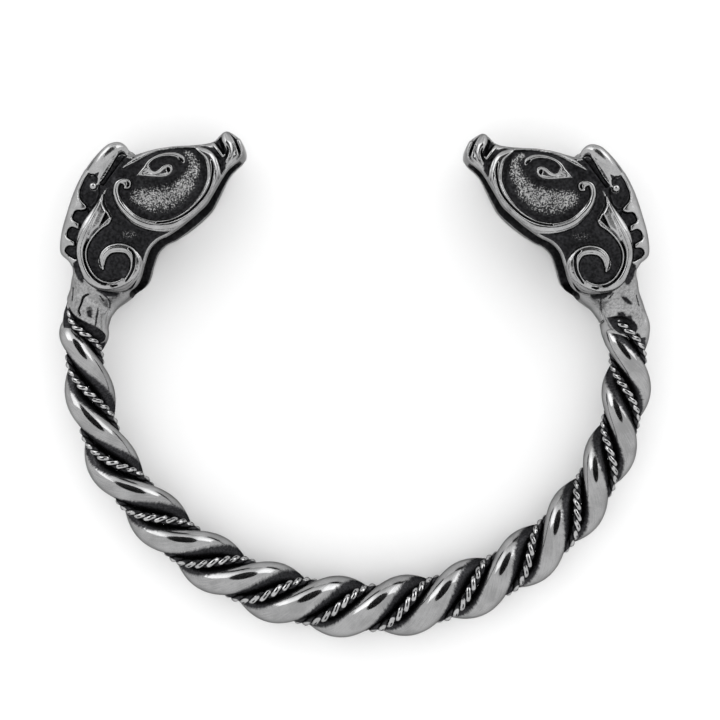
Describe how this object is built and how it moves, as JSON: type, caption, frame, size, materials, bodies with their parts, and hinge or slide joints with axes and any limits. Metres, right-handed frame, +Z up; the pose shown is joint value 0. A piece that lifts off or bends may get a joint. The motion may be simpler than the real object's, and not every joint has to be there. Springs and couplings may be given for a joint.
{
  "type": "twisted torc cuff bracelet with beast head terminals",
  "caption": "Rigid open cuff of twisted steel strands with fine beaded wires in the grooves, closed by scrollwork beast heads that face each other.",
  "frame": {"origin": "on the surface that the cuff lies on, under the middle of the cuff's outline", "axes": "+X across the wrist from the left head to the right head, +Y from the back of the wrist to the opening, +Z up through the hoop"},
  "size_m": [0.0806, 0.0688, 0.0133],
  "materials": {
    "head_steel": "polished relief over blackened recesses",
    "strand_steel": "high polish, blackened in the grooves",
    "wire_steel": "polished bead tops over black"
  },
  "bodies": {
    "root": {"beast_head_left": "head_steel", "beast_head_right": "head_steel", "strand_a": "strand_steel", "strand_b": "strand_steel", "beaded_wire_a": "wire_steel", "beaded_wire_b": "wire_steel"}
  },
  "joints": []
}
